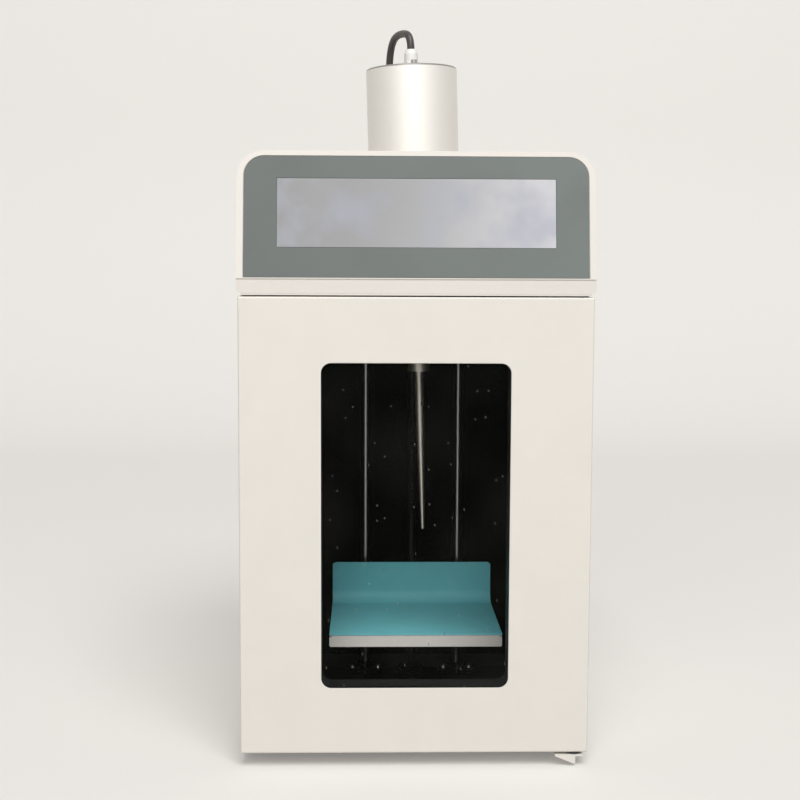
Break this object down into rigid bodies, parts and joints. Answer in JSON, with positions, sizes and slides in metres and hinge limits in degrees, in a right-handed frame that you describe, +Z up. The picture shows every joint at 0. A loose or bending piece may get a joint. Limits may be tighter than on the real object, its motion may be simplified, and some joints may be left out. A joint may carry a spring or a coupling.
{
  "type": "probe sonicator",
  "caption": "Upright probe sonicator cabinet: hinged windowed door, motor lift platform under a tapered horn, sloping touch panel and a round converter standing out of the top.",
  "frame": {"origin": "on the table, under the middle of the cabinet's width and depth", "axes": "+X to the right as seen from the front, -Y out of the door, +Z up"},
  "size_m": [0.282, 0.32, 0.6132],
  "materials": {
    "case_paint": "light grey-white powder coat",
    "hood_paint": "satin painted moulding",
    "dark_paint": "matt black powder coat",
    "zinc_sheet": "zinc-plated sheet",
    "foam": "open-cell acoustic foam",
    "fascia_film": "printed polyester film",
    "screen": "touch glass over a pale display",
    "circuit_board": "solder-masked laminate",
    "tinted_pane": "tinted acrylic",
    "black_plastic": "moulded black plastic",
    "switch_plastic": "glossy black rocker",
    "black_rubber": "soft black rubber",
    "cable_jacket": "black cable jacket",
    "white_nylon": "natural white nylon",
    "bright_steel": "bright turned steel",
    "plated_screws": "bright zinc plate",
    "machined_aluminium": "satin machined aluminium",
    "sleeve_aluminium": "fine brushed aluminium",
    "horn_metal": "turned horn",
    "motor_body": "black motor body",
    "mat": "teal silicone mat",
    "nut_brass": "turned brass",
    "piezo": "silvered piezoceramic",
    "winding": "enamelled copper winding",
    "capacitor_sleeve": "shrunk sleeve"
  },
  "bodies": {
    "cabinet": {"acoustic_foam": "foam", "base_pan": "dark_paint", "board_standoffs": "nut_brass", "cabinet_screws": "plated_screws", "cable_socket": "plated_screws", "capacitors": "capacitor_sleeve", "case_wrap": "case_paint", "catch_magnets": "black_plastic", "chamber_liner": "dark_paint", "display_board": "circuit_board", "display_module": "zinc_sheet", "fan_frame": "black_plastic", "fan_guard": "plated_screws", "fascia_panel": "fascia_film", "feet": "black_rubber", "front_frame": "dark_paint", "generator_board": "circuit_board", "guide_rods": "bright_steel", "head_hood": "hood_paint", "heat_sink": "machined_aluminium", "hinge_pins": "bright_steel", "hinge_plates": "case_paint", "lift_motor": "motor_body", "mains_inlet": "black_plastic", "mid_deck": "zinc_sheet", "output_coil": "winding", "rear_cover": "case_paint", "rod_clamps": "machined_aluminium", "screw_bearing": "machined_aluminium", "sleeve_rings": "white_nylon", "touch_screen": "screen"},
    "door": {"door_skin": "case_paint", "door_inner_panel": "dark_paint", "window_pane": "tinted_pane", "window_surround": "black_plastic", "door_seal": "black_rubber", "strike_plates": "zinc_sheet", "pivot_bushes": "black_plastic"},
    "platform": {"platform_plate": "machined_aluminium", "platform_mat": "mat", "carriage_block": "machined_aluminium", "linear_bearings": "bright_steel", "lead_nut": "nut_brass"},
    "screw": {"lead_screw": "bright_steel", "shaft_coupling": "machined_aluminium"},
    "converter": {"converter_sleeve": "sleeve_aluminium", "sleeve_cap": "sleeve_aluminium", "cap_screws": "plated_screws", "cable_gland": "white_nylon", "back_mass": "bright_steel", "piezo_rings": "piezo", "electrodes": "nut_brass", "stack_bolt": "bright_steel", "horn": "horn_metal", "probe_tip": "bright_steel", "converter_cable": "cable_jacket", "cable_plug": "plated_screws"},
    "fan": {"fan_rotor": "black_plastic"},
    "rocker": {"power_rocker": "switch_plastic"},
    "fuse": {"fuse_drawer": "black_plastic"}
  },
  "joints": [
    {"name": "door_hinge", "type": "hinge", "parent": "cabinet", "child": "door", "pos_m": [0.1295, -0.153, 0.012], "axis": [0, 0, 1], "range_deg": [0, 110]},
    {"name": "platform_lift", "type": "slide", "parent": "cabinet", "child": "platform", "axis": [0, 0, 1], "range_m": [-0.045, 0.075]},
    {"name": "screw_turn", "type": "hinge", "parent": "cabinet", "child": "screw", "pos_m": [0.004, 0.065, 0.012], "axis": [0, 0, 1], "range_deg": [-3400, 2100]},
    {"name": "converter_lift_out", "type": "slide", "parent": "cabinet", "child": "converter", "axis": [-0.0297, 0, 0.9996], "range_m": [0, 0.345]},
    {"name": "fan_spin", "type": "hinge", "parent": "cabinet", "child": "fan", "pos_m": [0.072, 0.142, 0.438], "axis": [0, 1, 0], "continuous": true},
    {"name": "switch_rock", "type": "hinge", "parent": "cabinet", "child": "rocker", "pos_m": [-0.095, 0.152, 0.0765], "axis": [1, 0, 0], "range_deg": [-18, 0]},
    {"name": "fuse_drawer_slide", "type": "slide", "parent": "cabinet", "child": "fuse", "axis": [0, 1, 0], "range_m": [0, 0.016]}
  ],
  "couplings": [
    {"joint": "screw_turn", "follows": "platform_lift", "rad_per_m": -785.4}
  ]
}
